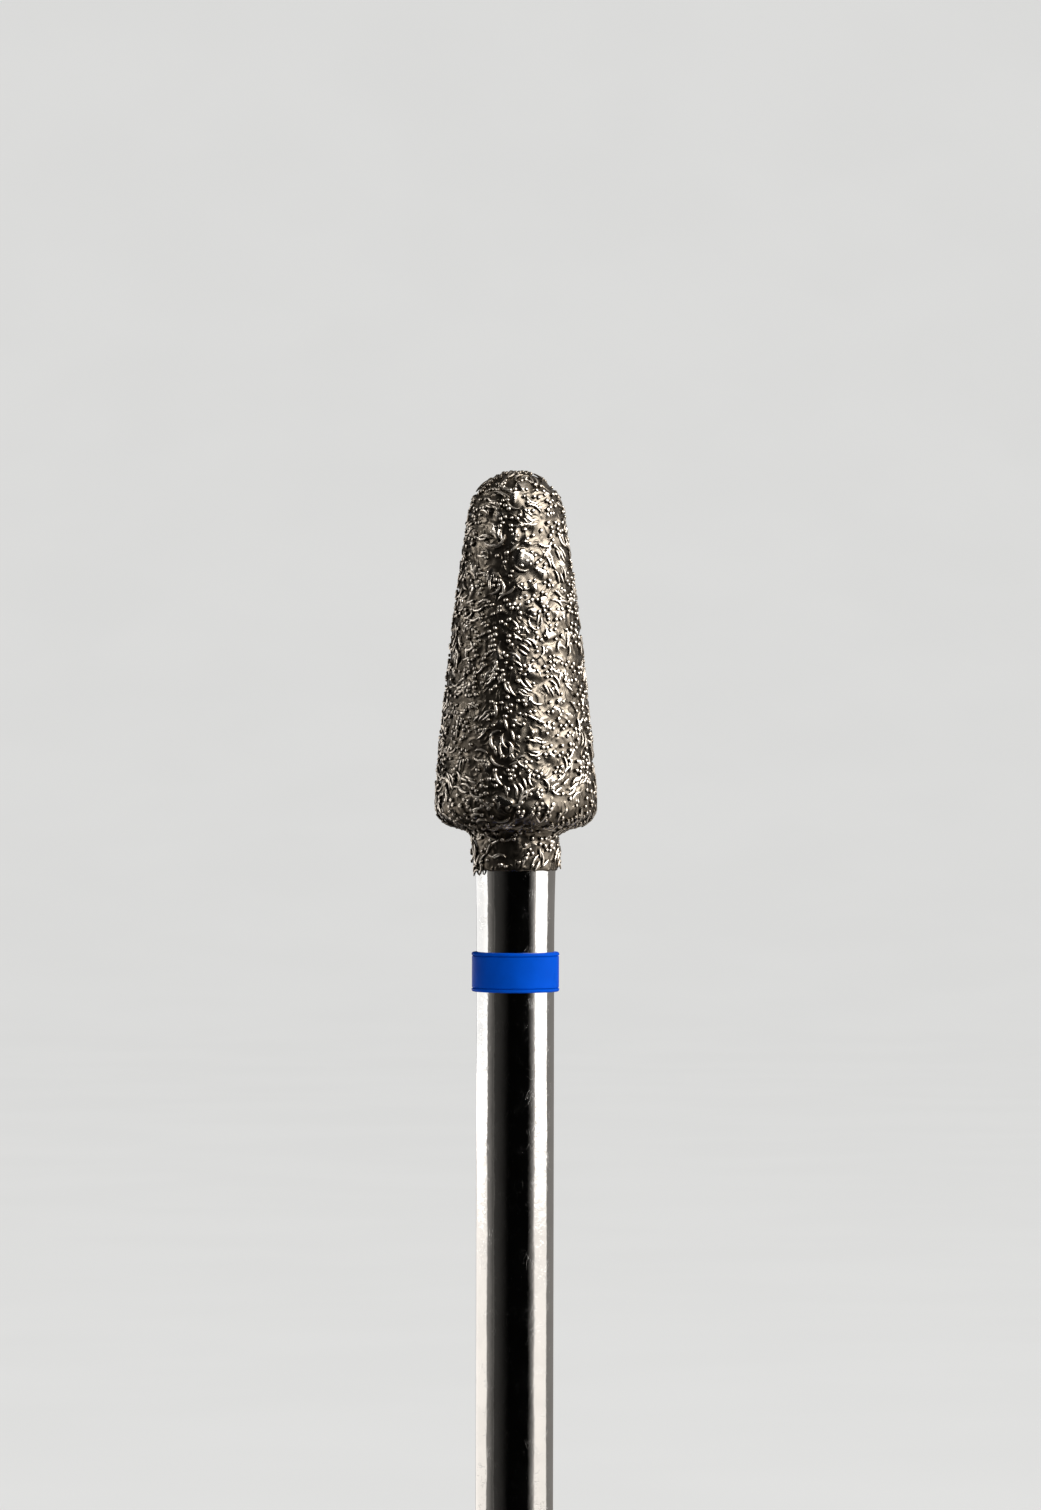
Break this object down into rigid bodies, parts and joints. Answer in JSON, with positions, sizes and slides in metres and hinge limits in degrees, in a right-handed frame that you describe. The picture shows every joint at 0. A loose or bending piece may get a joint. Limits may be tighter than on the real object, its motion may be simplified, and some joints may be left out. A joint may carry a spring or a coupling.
{
  "type": "dental bur",
  "caption": "Rotary grinding bur with a straight round shank, a tapered round-ended head coated in diamond grit, and a blue grade ring.",
  "frame": {"origin": "centre of the flat end face of the shank, on the bur's axis", "axes": "+Z along the bur's axis, from the shank's end to the tip of the head"},
  "size_m": [0.005, 0.005, 0.0445],
  "materials": {
    "polished_steel": "polished, with fine grinding marks",
    "diamond_grit_in_nickel": "rough crushed grit set in bright nickel",
    "blue_plastic": "semi-gloss"
  },
  "bodies": {
    "root": {"steel_blank": "polished_steel", "diamond_coating": "diamond_grit_in_nickel", "grade_ring": "blue_plastic"}
  },
  "joints": []
}
